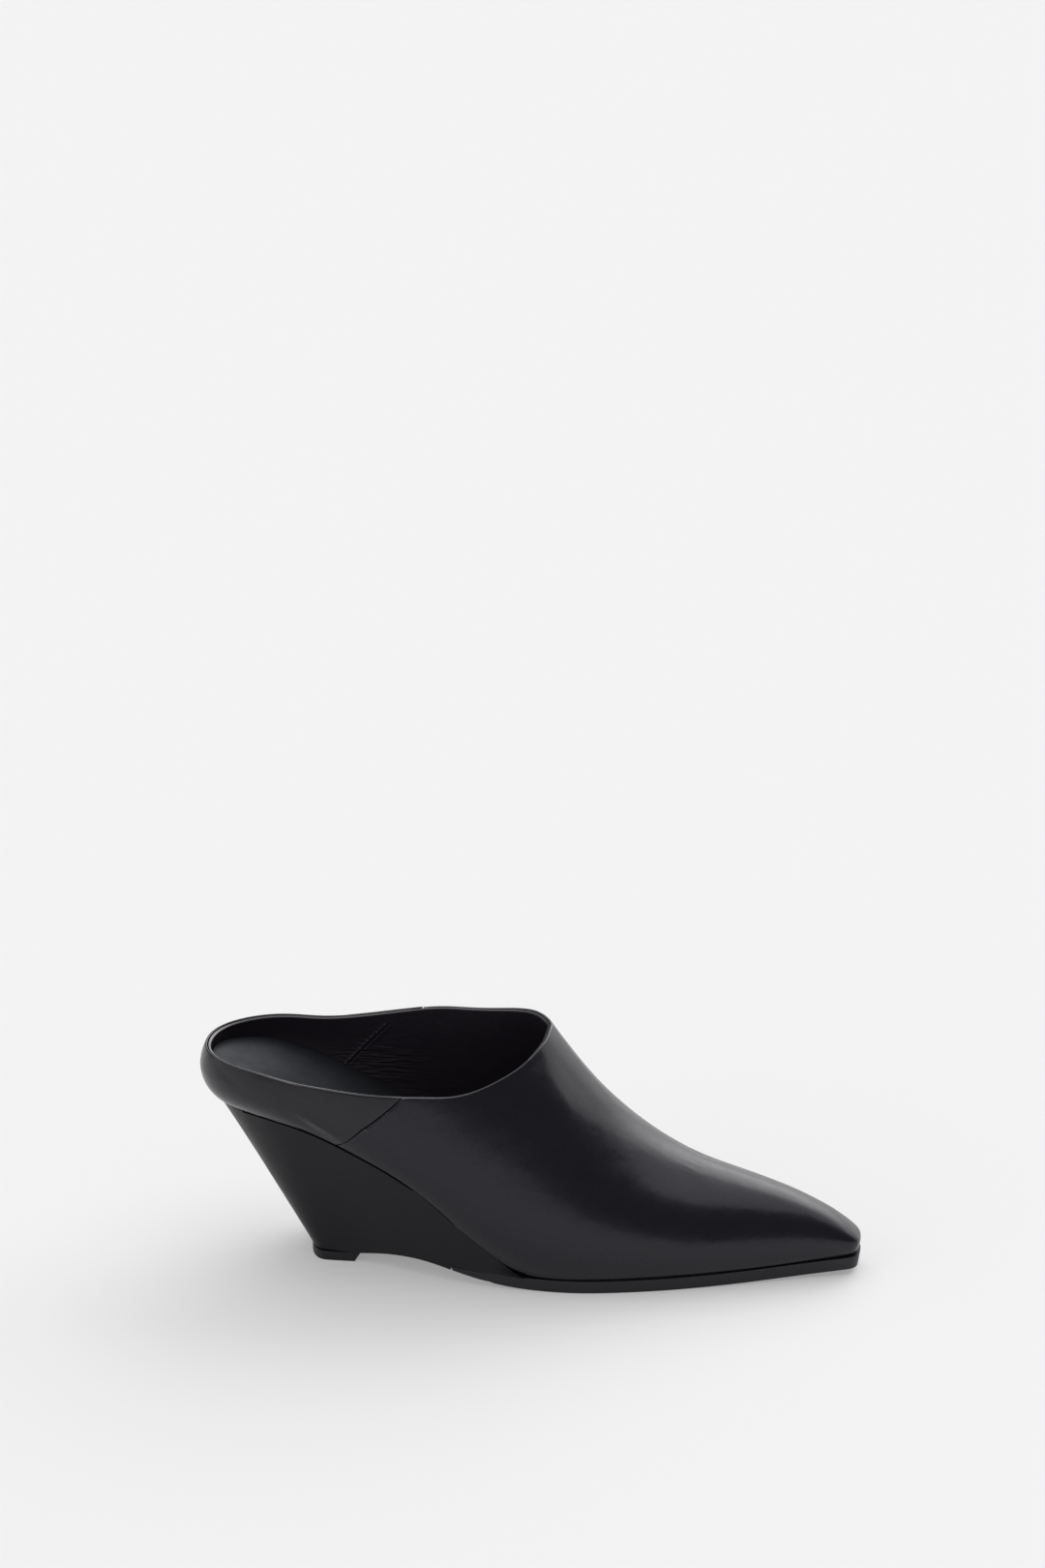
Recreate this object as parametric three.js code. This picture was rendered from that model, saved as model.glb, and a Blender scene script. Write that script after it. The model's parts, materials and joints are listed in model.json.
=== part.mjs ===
import * as THREE from "three";

// Wedge mule, the right shoe. Millimetres, heel to toe along +X, +Z up, outer (lateral) side at -Y.

// Driving dimensions of the last and the upper
const shoeLength = 270; // heel bulge to toe tip, along the floor
const ballWidth = 80; // across the upper at the ball of the foot
const heelRound = 45; // from the heel's back to where its sides run straight
const toeSquare = 7; // length of the squared toe's rounding
const heelHeight = 65; // seat of the heel above the floor
const throatHeight = 98; // front edge of the opening above the floor
const rimHeight = 22.4; // rim above the seat at the heel's back
const flankRise = 14; // widest line of the upper above its bottom edge
const flankTuck = 4; // how far the bottom edge turns in under the widest line
const wall = 2.4; // leather, stiffener and lining together
const quarterThickness = 1; // outer leather strip of the heel

// Driving dimensions of what lies under the foot
const soleThickness = 5.4; // forefoot outsole
const skiveThickness = 1.2; // outsole's thinned rear edge
const soleMargin = 0.6; // outsole past the upper's bottom edge
const toeMargin = 1.6; // outsole past the upper at the toe
const soleUndercut = 0.8; // outsole's edge leans in towards the floor
const toeSpring = 2.8; // toe above the floor
const archRise = 3.4; // top of the arch above the lift
const liftThickness = 3.6;
const liftLength = 21;
const liftWidth = 37;
const liftSetback = 45.5; // heel's back to the lift's back: the rake of the wedge
const liftLean = 2.4; // lift's front leans forward towards its top
const coverReveal = 0.4; // wedge stands in from the upper's bottom edge
const padHeel = 17; // footbed's thickness at the heel's back
const padToe = 3.4; // and at the toe
const padRound = 1.6; // rounding of the footbed's edge
const padCrown = 1.2; // footbed's middle above its edges

const gap = 0.3; // between pieces that meet

// Sections of the last, a row each. at is a share of the shoe's length. lateral and medial are half-widths and
// ridgeY the ridge's shift to the medial side, as shares of the ball's width. ridge is the height of the top
// line as a share of the throat's height: behind the throat it is the line that the open sides lean towards.
// rise and tuck are shares of flankRise and flankTuck. full squares the section's shoulder, where 2 is round.
const sections = [
  { at: 0.0, lateral: 0.388, medial: 0.388, ridgeY: 0.0, ridge: 1.09, rise: 0.93, tuck: 1.9, full: 2.0 },
  { at: 0.165, lateral: 0.392, medial: 0.385, ridgeY: 0.0, ridge: 1.13, rise: 0.95, tuck: 1.1, full: 2.0 },
  { at: 0.26, lateral: 0.422, medial: 0.394, ridgeY: 0.02, ridge: 1.225, rise: 1.0, tuck: 0.9, full: 2.0 },
  { at: 0.35, lateral: 0.45, medial: 0.4, ridgeY: 0.05, ridge: 1.285, rise: 1.03, tuck: 0.85, full: 2.0 },
  { at: 0.44, lateral: 0.482, medial: 0.42, ridgeY: 0.07, ridge: 1.18, rise: 1.1, tuck: 0.85, full: 2.0 },
  { at: 0.53, lateral: 0.505, medial: 0.465, ridgeY: 0.07, ridge: 1.0, rise: 1.12, tuck: 0.85, full: 2.0 },
  { at: 0.574, lateral: 0.505, medial: 0.488, ridgeY: 0.06, ridge: 0.812, rise: 1.08, tuck: 0.8, full: 2.0 },
  { at: 0.636, lateral: 0.476, medial: 0.492, ridgeY: 0.045, ridge: 0.641, rise: 0.98, tuck: 0.75, full: 2.0 },
  { at: 0.695, lateral: 0.43, medial: 0.462, ridgeY: 0.03, ridge: 0.522, rise: 0.85, tuck: 0.7, full: 2.0 },
  { at: 0.755, lateral: 0.37, medial: 0.402, ridgeY: 0.02, ridge: 0.447, rise: 0.7, tuck: 0.6, full: 2.0 },
  { at: 0.827, lateral: 0.289, medial: 0.316, ridgeY: 0.012, ridge: 0.388, rise: 0.58, tuck: 0.5, full: 2.05 },
  { at: 0.9, lateral: 0.2, medial: 0.224, ridgeY: 0.008, ridge: 0.322, rise: 0.48, tuck: 0.45, full: 2.15 },
  { at: 0.956, lateral: 0.133, medial: 0.152, ridgeY: 0.006, ridge: 0.25, rise: 0.42, tuck: 0.4, full: 2.3 },
  { at: 1.0, lateral: 0.088, medial: 0.1, ridgeY: 0.006, ridge: 0.19, rise: 0.38, tuck: 0.4, full: 2.4 },
];

// Underside, a row for each place along the shoe's length. arch and spring are shares of archRise and
// toeSpring, thick runs from the skived rear edge at 0 to the full outsole at 1, seat is the share of the heel's
// height that the foot still stands above the outsole, and pad runs from padToe at 0 to padHeel at 1.
const undersides = [
  { at: 0.0, arch: 0, spring: 0, lift: 1, thick: 0, seat: 1, pad: 1 },
  { at: 0.08, arch: 0, spring: 0, lift: 1, thick: 0, seat: 1, pad: 0.765 },
  { at: 0.147, arch: 0, spring: 0, lift: 1, thick: 0, seat: 0.961, pad: 0.53 },
  { at: 0.184, arch: 0, spring: 0, lift: 1, thick: 0, seat: 0.912, pad: 0.47 },
  { at: 0.245, arch: 0, spring: 0, lift: 1, thick: 0, seat: 0.8, pad: 0.375 },
  { at: 0.29, arch: 0.7, spring: 0, lift: 1, thick: 0, seat: 0.694, pad: 0.31 },
  { at: 0.345, arch: 1, spring: 0, lift: 0.98, thick: 0, seat: 0.532, pad: 0.235 },
  { at: 0.395, arch: 0.7, spring: 0, lift: 0.72, thick: 0, seat: 0.357, pad: 0.175 },
  { at: 0.4217, arch: 0.5, spring: 0, lift: 0.55, thick: 0.25, seat: 0.26, pad: 0.14 },
  { at: 0.46, arch: 0.22, spring: 0, lift: 0.3, thick: 0.75, seat: 0.125, pad: 0.095 },
  { at: 0.487, arch: 0.08, spring: 0, lift: 0.14, thick: 0.95, seat: 0.04, pad: 0.065 },
  { at: 0.515, arch: 0.02, spring: 0, lift: 0.03, thick: 1, seat: 0, pad: 0.045 },
  { at: 0.55, arch: 0, spring: 0, lift: 0, thick: 1, seat: 0, pad: 0.02 },
  { at: 0.7, arch: 0, spring: 0, lift: 0, thick: 1, seat: 0, pad: 0 },
  { at: 0.8, arch: 0, spring: 0.16, lift: 0, thick: 1, seat: 0, pad: 0 },
  { at: 0.9, arch: 0, spring: 0.5, lift: 0, thick: 1, seat: 0, pad: 0 },
  { at: 1.0, arch: 0, spring: 1, lift: 0, thick: 1, seat: 0, pad: 0 },
];

// Rim of the opening from where the heel's rounding ends, at 0, to the middle of the throat, at 1. lateral and
// medial are shares of the turn from the heel's rim up to the ridge.
const throatAt = 0.53; // middle of the throat, as a share of the length
const collar = [
  { at: 0.0, lateral: -0.106, medial: 0.012 },
  { at: 0.2, lateral: -0.038, medial: 0.145 },
  { at: 0.4, lateral: 0.1, medial: 0.288 },
  { at: 0.6, lateral: 0.34, medial: 0.52 },
  { at: 0.8, lateral: 0.62, medial: 0.77 },
  { at: 1.0, lateral: 1.0, medial: 1.0 },
];

// Wedge's bottom edge behind the ball, half-widths as shares of the ball's width
const wedgeFoot = [
  { at: 0.2, lateral: 0.231, medial: 0.231 },
  { at: 0.255, lateral: 0.25, medial: 0.245 },
  { at: 0.3, lateral: 0.302, medial: 0.285 },
  { at: 0.357, lateral: 0.366, medial: 0.33 },
  { at: 0.44, lateral: 0.44, medial: 0.385 },
  { at: 0.5, lateral: 0.478, medial: 0.43 },
];

// Side seam, as shares of the length at the upper's bottom edge, widest line and rim
const seam = { foot: 0.222, flank: 0.263, rim: 0.325 };

const skiveAt = 0.395; // outsole's rear edge
const wedgeEndAt = 0.492; // wedge's front edge
const tipAt = 0.9; // from here on the outsole runs further out past the upper
const heelFullness = 2.25; // 2 is a round heel in plan, more is squarer
const toeFullness = 3.2;
const noseLength = 14.5; // length over which the toe's top rounds down
const featherAngle = (35 * Math.PI) / 180; // upper's lean at its bottom edge
const featherLean = Math.cos(featherAngle) / (1 - Math.sin(featherAngle));
const quarterTurn = Math.PI / 2;

// Smooth curve through one column of a table: cubic between the rows, with slopes that never overshoot.
function column(rows, name) {
  const steps = rows.slice(1).map((row, i) => (row[name] - rows[i][name]) / (row.at - rows[i].at));
  const slopes = rows.map((row, i) => {
    const before = steps[Math.max(0, i - 1)];
    const after = steps[Math.min(i, steps.length - 1)];
    const steepest = 3 * Math.min(Math.abs(before), Math.abs(after));
    return before * after > 0 ? THREE.MathUtils.clamp((before + after) / 2, -steepest, steepest) : 0;
  });
  return (at) => {
    const x = THREE.MathUtils.clamp(at, rows[0].at, rows[rows.length - 1].at);
    const i = Math.max(1, rows.findIndex((row) => row.at >= x)) - 1;
    const width = rows[i + 1].at - rows[i].at;
    const t = (x - rows[i].at) / width;
    const rise = steps[i] * width;
    const a = slopes[i] * width - rise;
    const b = rise - slopes[i + 1] * width;
    return rows[i][name] + rise * t + t * (1 - t) * ((1 - t) * a + t * b);
  };
}

// The same for every column, as one function that returns all values at a place.
function curves(rows) {
  const names = Object.keys(rows[0]).filter((name) => name !== "at");
  const parts = names.map((name) => column(rows, name));
  return (at) => Object.fromEntries(names.map((name, i) => [name, parts[i](at)]));
}

const sectionAt = curves(sections);
const undersideAt = curves(undersides);
const collarAt = curves(collar);
const wedgeFootAt = curves(wedgeFoot);

const lerp = THREE.MathUtils.lerp;
const power = (value, exponent) => Math.pow(Math.max(0, value), exponent);
const sideName = (side) => (side < 0 ? "lateral" : "medial");

// Heights of the underside, the outsole's top and the seat that carries the upper and the footbed
function floorZ(x) {
  const row = undersideAt(x / shoeLength);
  return (liftThickness + gap) * row.lift + archRise * row.arch + toeSpring * row.spring;
}
function soleTopZ(x) {
  return floorZ(x) + lerp(skiveThickness, soleThickness, undersideAt(x / shoeLength).thick);
}
function seatZ(x) {
  return lerp(soleTopZ(x), heelHeight, undersideAt(x / shoeLength).seat);
}

// Half-width of the upper on one side of the ridge, before the toe's rounding
function reach(x, side) {
  const row = sectionAt(x / shoeLength);
  return row[sideName(side)] * ballWidth - side * row.ridgeY * ballWidth;
}
function ridgeY(x) {
  return sectionAt(x / shoeLength).ridgeY * ballWidth;
}
const toeStart = shoeLength - toeSquare;

// A place in plan. station runs 0 to 1 round the heel, 1 to 2 along the side and 2 to 3 round the toe, and
// share runs from the ridge at 0 to the widest line at 1.
function plan(station, side, share = 1) {
  if (station <= 1) {
    const turn = station * quarterTurn;
    const back = power(Math.cos(turn), 2 / heelFullness) * share;
    const out = power(Math.sin(turn), 2 / heelFullness) * share;
    return new THREE.Vector2(heelRound * (1 - back), side * reach(heelRound, side) * out);
  }
  if (station <= 2) {
    const x = lerp(heelRound, toeStart, station - 1);
    return new THREE.Vector2(x, ridgeY(x) + side * reach(x, side) * share);
  }
  const turn = (station - 2) * quarterTurn;
  const x = toeStart + toeSquare * power(Math.sin(turn), 2 / toeFullness);
  const out = power(Math.cos(turn), 2 / toeFullness);
  return new THREE.Vector2(x, ridgeY(x) + side * reach(x, side) * out * share);
}
const stationAt = (x) => 1 + (x - heelRound) / (toeStart - heelRound);

// Outward direction of the plan outline
function outward(station, side) {
  if (station <= 0) return new THREE.Vector2(-1, 0);
  if (station >= 3) return new THREE.Vector2(1, 0);
  const step = 1e-4;
  const run = plan(Math.min(3, station + step), side).sub(plan(Math.max(0, station - step), side));
  return new THREE.Vector2(-side * run.y, side * run.x).normalize();
}

// Height of the upper over a place in plan, inside the widest line
function crownZ(x, y) {
  const side = y < ridgeY(x) ? -1 : 1;
  const row = sectionAt(x / shoeLength);
  const low = flankZ(x);
  let share = Math.abs(y - ridgeY(x)) / reach(Math.max(x, heelRound), side);
  if (x < heelRound) {
    const back = (heelRound - x) / heelRound;
    share = power(power(back, heelFullness) + power(share, heelFullness), 1 / heelFullness);
  }
  if (x > toeStart) {
    share /= power(1 - power((x - toeStart) / toeSquare, toeFullness), 1 / toeFullness) + 1e-9;
  }
  const nose = power(1 - power((x - shoeLength + noseLength) / noseLength, 2), 1 / 2);
  const high = (row.ridge * throatHeight - low) * nose;
  return low + high * power(1 - power(share, row.full), 1 / row.full);
}
function footZ(x) {
  return seatZ(x) + gap;
}
function flankZ(x) {
  return footZ(x) + flankRise * sectionAt(x / shoeLength).rise;
}

// Point of the upper's flank between its bottom edge, at 0, and the widest line, at 1, set in by depth
function flank(station, side, up, depth = 0) {
  const edge = plan(station, side);
  const out = outward(station, side);
  const row = sectionAt(edge.x / shoeLength);
  const angle = lerp(featherAngle, quarterTurn, up);
  const tuck = (flankTuck * row.tuck * (1 - Math.sin(angle))) / (1 - Math.sin(featherAngle));
  const rise = (flankRise * row.rise * Math.cos(angle)) / Math.cos(featherAngle);
  const lean = ((flankTuck * row.tuck) / (flankRise * row.rise)) * (featherLean / Math.tan(angle));
  edge.addScaledVector(out, -tuck - depth * Math.hypot(1, lean));
  return new THREE.Vector3(edge.x, edge.y, flankZ(edge.x) - rise);
}

// Rim of the opening at a share of the way from the heel's back to the throat's middle: the station in plan
// and the turn from the widest line, at 0, up to the ridge, at a quarter turn
const throatX = throatAt * shoeLength;
function rim(station, side) {
  const x = plan(Math.min(station, 2), side).x;
  const reachShare = station <= 1 ? 0 : Math.min(1, (x - heelRound) / (throatX - heelRound));
  const at = Math.asin(reachShare) / quarterTurn;
  const ridge = sections[0].ridge * throatHeight;
  const low = heelHeight + gap + flankRise * sections[0].rise;
  const start = Math.asin((heelHeight + gap + rimHeight - low) / (ridge - low));
  const first = collarAt(0)[sideName(side)];
  const lead = station <= 1 ? first * power(station, 2) : collarAt(at)[sideName(side)];
  return start + (quarterTurn - start) * lead;
}

// Columns of the upper from the heel's back to the toe's middle, each with its stations at the bottom edge,
// the widest line and the rim. front grows from 0, where a column climbs evenly, to 1, where it runs straight
// in plan. The column at the side seam comes twice, on both sides of the step.
const heelColumns = 8;
const seamColumns = 4;
const vampColumns = 17;
const toeColumns = 6;
const stepWidth = 0.15;
const rimSpread = 1.7; // above 1 the rim's columns gather at the throat
function sideColumns() {
  const list = [];
  for (let i = 0; i <= heelColumns; i += 1) {
    const station = i / heelColumns;
    list.push({ foot: station, flank: station, rim: station, front: 0, stepped: true });
  }
  const places = { foot: seam.foot, flank: seam.flank, rim: seam.rim };
  for (let i = 1; i <= seamColumns; i += 1) {
    const column = { front: 0, stepped: true };
    for (const [name, at] of Object.entries(places)) {
      column[name] = stationAt(lerp(heelRound, at * shoeLength, i / seamColumns));
    }
    list.push(column);
  }
  const firstRim = Math.asin((seam.rim * shoeLength + stepWidth - heelRound) / (throatX - heelRound));
  const frontColumns = vampColumns + toeColumns;
  for (let i = 0; i <= frontColumns; i += 1) {
    const along = Math.min(1, i / vampColumns);
    const round = Math.max(0, i - vampColumns) / toeColumns;
    const turn = lerp(quarterTurn, firstRim, power(1 - i / frontColumns, rimSpread));
    list.push({
      foot: stationAt(lerp(seam.foot * shoeLength + stepWidth, toeStart, along)) + round,
      flank: stationAt(lerp(seam.flank * shoeLength + stepWidth, toeStart, along)) + round,
      rim: stationAt(lerp(heelRound, throatX, Math.sin(turn))),
      front: THREE.MathUtils.smoothstep(i, 0, vampColumns / 2),
      stepped: false,
    });
  }
  return list;
}
const halfColumns = sideColumns();

// Rows of the upper from the bottom edge, through the widest line, to the rim
const flankRows = 4;
const crownRows = 16;

// Outer surface of the upper at one column and row
function upperPoint(column, side, row) {
  if (row <= flankRows) {
    const up = row / flankRows;
    return flank(lerp(column.foot, column.flank, up), side, up);
  }
  const turn = rim(column.rim, side);
  const edge = plan(column.flank, side);
  const full = sectionAt(edge.x / shoeLength).full;
  const top = plan(column.rim, side, power(Math.cos(turn), 2 / full));
  const part = (row - flankRows) / crownRows;
  const share = power(Math.cos(turn * part), 2 / full);
  const inset = (1 - share) / (1 - power(Math.cos(turn), 2 / full));
  const beside = plan(lerp(column.flank, column.rim, part), side, share);
  const place = beside.lerp(edge.clone().lerp(top, inset), column.front);
  return new THREE.Vector3(place.x, place.y, crownZ(place.x, place.y));
}

// Closed ring of columns: lateral side forward, medial side back
const ring = [
  ...halfColumns.map((column) => ({ column, side: -1 })),
  ...halfColumns.slice(1, -1).reverse().map((column) => ({ column, side: 1 })),
];
const rowCount = flankRows + crownRows + 1;
const upperGrid = Array.from({ length: rowCount }, (_, row) =>
  ring.map(({ column, side }) => upperPoint(column, side, row)),
);

// Outward normal of a grid of points that closes round its columns
function gridNormal(grid, row, at) {
  const count = grid[0].length;
  const low = grid[Math.max(0, row - 1)];
  const high = grid[Math.min(grid.length - 1, row + 1)];
  const round = grid[row][(at + 1) % count].clone().sub(grid[row][(at + count - 1) % count]);
  const up = high[at].clone().sub(low[at]);
  return round.cross(up).normalize();
}
const upperNormals = upperGrid.map((points, row) => points.map((_, at) => gridNormal(upperGrid, row, at)));

// Copy of the upper's surface set in by a depth that may differ from column to column. Along the bottom edge
// it is set in level, so that the edge stays flat on what carries it.
function setIn(depthAt) {
  return upperGrid.map((points, row) =>
    points.map((point, at) => {
      const normal = upperNormals[row][at].clone();
      const flat = row === 0 ? Math.hypot(normal.x, normal.y) : 1;
      if (row === 0) normal.setZ(0).normalize();
      return point.clone().addScaledVector(normal, -depthAt(ring[at].column) / flat);
    }),
  );
}

// Gathers faces over shared points, leaves out faces that have no area, and makes the geometry.
class Skin {
  constructor() {
    this.points = [];
    this.faces = [];
    this.known = new Map();
  }
  index(point) {
    const key = point.toArray().map((value) => Math.round(value * 2000)).join();
    if (!this.known.has(key)) {
      this.known.set(key, this.points.length);
      this.points.push(point);
    }
    return this.known.get(key);
  }
  triangle(a, b, c) {
    const [i, j, k] = [a, b, c].map((point) => this.index(point));
    if (i !== j && j !== k && k !== i) this.faces.push(i, j, k);
  }
  // Two triangles over four corners. They are split from a to c or from b to d, by the shorter way unless told.
  quad(a, b, c, d, fromA = a.distanceTo(c) <= b.distanceTo(d)) {
    this.triangle(a, b, fromA ? c : d);
    this.triangle(fromA ? a : b, c, d);
  }
  geometry() {
    const geometry = new THREE.BufferGeometry();
    geometry.setAttribute(
      "position",
      new THREE.Float32BufferAttribute(this.points.flatMap((point) => point.toArray()), 3),
    );
    geometry.setIndex(this.faces);
    geometry.computeVertexNormals();
    return geometry;
  }
}

// Closed wall between an outer and an inner grid. It runs right round its columns, or ends at the first and last.
// Its quads are split in turn one way and the other, so that no direction of the leather is favoured.
function wallBetween(outer, inner, closed) {
  const skin = new Skin();
  const rows = outer.length;
  const even = (number) => number % 2 === 0;
  const count = outer[0].length;
  const spans = closed ? count : count - 1;
  for (let at = 0; at < spans; at += 1) {
    const next = (at + 1) % count;
    for (let row = 0; row < rows - 1; row += 1) {
      const fromA = even(row + at);
      skin.quad(outer[row][at], outer[row][next], outer[row + 1][next], outer[row + 1][at], fromA);
      skin.quad(inner[row + 1][at], inner[row + 1][next], inner[row][next], inner[row][at], fromA);
    }
    const top = rows - 1;
    skin.quad(inner[0][at], inner[0][next], outer[0][next], outer[0][at], even(at + 1));
    skin.quad(outer[top][at], outer[top][next], inner[top][next], inner[top][at], even(top + at));
  }
  if (!closed) {
    const last = count - 1;
    for (let row = 0; row < rows - 1; row += 1) {
      skin.quad(inner[row][0], outer[row][0], outer[row + 1][0], inner[row + 1][0], even(row + 1));
      skin.quad(
        outer[row][last],
        inner[row][last],
        inner[row + 1][last],
        outer[row + 1][last],
        even(row + last),
      );
    }
  }
  return skin.geometry();
}

// Closed block over a grid of points: i runs from heel to toe, j from the lateral to the medial side, k up.
function block(countI, countJ, countK, pointAt) {
  const skin = new Skin();
  for (let i = 0; i < countI; i += 1) {
    for (let j = 0; j < countJ; j += 1) {
      skin.quad(pointAt(i, j, 0), pointAt(i, j + 1, 0), pointAt(i + 1, j + 1, 0), pointAt(i + 1, j, 0));
      skin.quad(
        pointAt(i, j, countK),
        pointAt(i + 1, j, countK),
        pointAt(i + 1, j + 1, countK),
        pointAt(i, j + 1, countK),
      );
    }
    for (let k = 0; k < countK; k += 1) {
      skin.quad(pointAt(i, 0, k), pointAt(i + 1, 0, k), pointAt(i + 1, 0, k + 1), pointAt(i, 0, k + 1));
      skin.quad(
        pointAt(i + 1, countJ, k),
        pointAt(i, countJ, k),
        pointAt(i, countJ, k + 1),
        pointAt(i + 1, countJ, k + 1),
      );
    }
  }
  for (let j = 0; j < countJ; j += 1) {
    for (let k = 0; k < countK; k += 1) {
      skin.quad(pointAt(0, j + 1, k), pointAt(0, j, k), pointAt(0, j, k + 1), pointAt(0, j + 1, k + 1));
      skin.quad(
        pointAt(countI, j, k),
        pointAt(countI, j + 1, k),
        pointAt(countI, j + 1, k + 1),
        pointAt(countI, j, k + 1),
      );
    }
  }
  return skin.geometry();
}

// Block whose edges are given for both sides, with straight rows of points between them. lift raises a row's
// points, in full where the row is as wide as the ball.
function slab(stations, across, levels, edgeAt, lift = () => 0) {
  return block(stations.length - 1, across, levels, (i, j, k) => {
    const lateral = edgeAt(i, -1, k);
    const medial = edgeAt(i, 1, k);
    const point = lateral.clone().lerp(medial, j / across);
    point.z += (lift(j / across, k) * lateral.distanceTo(medial)) / ballWidth;
    return point;
  });
}

const range = (count, from, to) => Array.from({ length: count + 1 }, (_, i) => lerp(from, to, i / count));

// Upper: one wall, stepped in where the quarter lies on it
function makeUpper() {
  const step = quarterThickness + gap;
  const outer = setIn((column) => (column.stepped ? step : 0));
  const inner = setIn(() => wall);
  return wallBetween(outer, inner, true);
}

// Heel quarter: the strip from seam to seam round the heel
function makeQuarter() {
  const stepped = ring.map(({ column }, at) => (column.stepped ? at : -1)).filter((at) => at >= 0);
  const middle = stepped.findIndex((at, i) => i > 0 && at !== stepped[i - 1] + 1);
  const order = [...stepped.slice(middle), ...stepped.slice(0, middle)];
  const outerAll = setIn(() => 0);
  const innerAll = setIn(() => quarterThickness);
  const pick = (grid) => grid.map((points) => order.map((at) => points[at].clone()));
  const outer = pick(outerAll);
  const inner = pick(innerAll);
  for (const grid of [outer, inner]) {
    for (const points of grid) {
      for (const [end, next] of [
        [0, 1],
        [points.length - 1, points.length - 2],
      ]) {
        const along = points[next].clone().sub(points[end]).normalize();
        points[end].addScaledVector(along, gap);
      }
    }
  }
  return wallBetween(outer, inner, false);
}

// Outline of the upper's bottom edge, moved out or in level
function footEdge(station, side, out) {
  const point = flank(station, side, 0);
  const direction = outward(station, side);
  return new THREE.Vector2(point.x + direction.x * out, point.y + direction.y * out);
}

// Stations that the pieces under the foot share: round the heel, along to the outsole's rear edge, on to the
// wedge's front edge, along the forefoot and round the toe
const skiveX = skiveAt * shoeLength;
const wedgeEndX = wedgeEndAt * shoeLength;
const heelStations = range(heelColumns, 0, 1);
const shankPlaces = range(8, heelRound, skiveX).slice(1);
const skivePlaces = range(3, skiveX, wedgeEndX).slice(1);
const forefootStations = range(10, wedgeEndX, toeStart).slice(1).map(stationAt);
const toeStations = range(toeColumns, 2, 3).slice(1);

// Footbed: follows the upper's inner wall up to its rounded edge
function makeInsole() {
  const shank = [...shankPlaces, ...skivePlaces].map(stationAt);
  const stations = [...heelStations, ...shank, ...forefootStations, ...toeStations];
  const levels = 3;
  const clearance = wall + 2 * gap;
  return slab(
    stations,
    4,
    levels,
    (i, side, k) => {
      const x = plan(stations[i], side).x;
      const row = sectionAt(x / shoeLength);
      const thickness = lerp(padToe, padHeel, undersideAt(x / shoeLength).pad);
      const height = k === levels ? thickness : ((thickness - padRound) * k) / (levels - 1);
      const rise = flankRise * row.rise;
      const angle = Math.acos(THREE.MathUtils.clamp(((rise - height) / rise) * Math.cos(featherAngle), 0, 1));
      const up = (angle - featherAngle) / (quarterTurn - featherAngle);
      const point = flank(stations[i], side, up, clearance + (k === levels ? padRound : 0));
      return new THREE.Vector3(point.x, point.y, footZ(point.x) + height);
    },
    (share, k) => (k === levels ? padCrown * 4 * share * (1 - share) : 0),
  );
}

// Wedge: from the upper's bottom edge down to the lift and the arch, with a raked back. Its underside steps up
// by the thinned outsole at skiveX.
function makeWedge() {
  const footStart = wedgeFoot[0].at * shoeLength;
  const places = [
    ...heelStations.map((station) => ({ station, x: footStart })),
    ...shankPlaces.map((x, i) => ({
      station: stationAt(x),
      x: lerp(footStart, skiveX, (i + 1) / shankPlaces.length),
    })),
    ...[skiveX + gap, ...skivePlaces].map((x) => ({ station: stationAt(x), x, above: true })),
  ];
  const bottom = ({ station, x, above }, side) => {
    const halfWidth = wedgeFootAt(x / shoeLength)[sideName(side)] * ballWidth;
    if (above) return new THREE.Vector3(x, side * halfWidth, soleTopZ(x) + gap);
    const turn = Math.min(station, 1) * quarterTurn;
    const back = lerp(x, liftSetback, power(Math.cos(turn), 2 / heelFullness));
    const out = halfWidth * power(Math.sin(turn), 2 / heelFullness);
    return new THREE.Vector3(back, side * out, floorZ(back));
  };
  const top = ({ station }, side) => {
    const edge = footEdge(station, side, -coverReveal);
    return new THREE.Vector3(edge.x, edge.y, seatZ(edge.x));
  };
  const levels = 4;
  return slab(places, 4, levels, (i, side, k) => bottom(places[i], side).lerp(top(places[i], side), k / levels));
}

// Outsole: full under the forefoot, thinned to its rear edge under the wedge
function makeOutsole() {
  const rear = [skiveX + 2 * gap, ...skivePlaces].map(stationAt);
  const stations = [...rear, ...forefootStations, ...toeStations];
  const levels = 2;
  return slab(stations, 4, levels, (i, side, k) => {
    const up = k / levels;
    const x = plan(stations[i], side).x;
    const tip = power((x / shoeLength - tipAt) / (1 - tipAt), 2);
    const margin = lerp(soleMargin, toeMargin, tip) - soleUndercut * (1 - up);
    const edge = footEdge(stations[i], side, margin);
    if (edge.x < wedgeEndX) {
      const foot = wedgeFootAt(edge.x / shoeLength)[sideName(side)] * ballWidth;
      edge.y = side * Math.min(side * edge.y, foot);
    }
    return new THREE.Vector3(edge.x, edge.y, lerp(floorZ(edge.x), soleTopZ(edge.x), up));
  });
}

// Top lift: a flat D under the wedge's foot
function makeLift() {
  const halfWidth = liftWidth / 2;
  const roundLength = wedgeFoot[0].at * shoeLength - liftSetback;
  const places = [...heelStations.map((station) => ({ station })), { straight: 0.5 }, { straight: 1 }];
  return slab(places, 2, 1, (i, side, k) => {
    const { station = 1, straight = 0 } = places[i];
    const turn = station * quarterTurn;
    const back = power(Math.cos(turn), 2 / heelFullness);
    const out = power(Math.sin(turn), 2 / heelFullness);
    const straightLength = liftLength - roundLength + liftLean * (k - 1 / 2);
    const x = liftSetback + roundLength * (1 - back) + straightLength * straight;
    return new THREE.Vector3(x, side * halfWidth * out, liftThickness * k);
  });
}

const black = (colour, roughness) => new THREE.MeshStandardMaterial({ color: colour, roughness, metalness: 0 });
const leather = black(0x17171a, 0.38);
const footbedLeather = black(0x1b1c20, 0.5);
const soleRubber = black(0x121215, 0.55);

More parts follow.
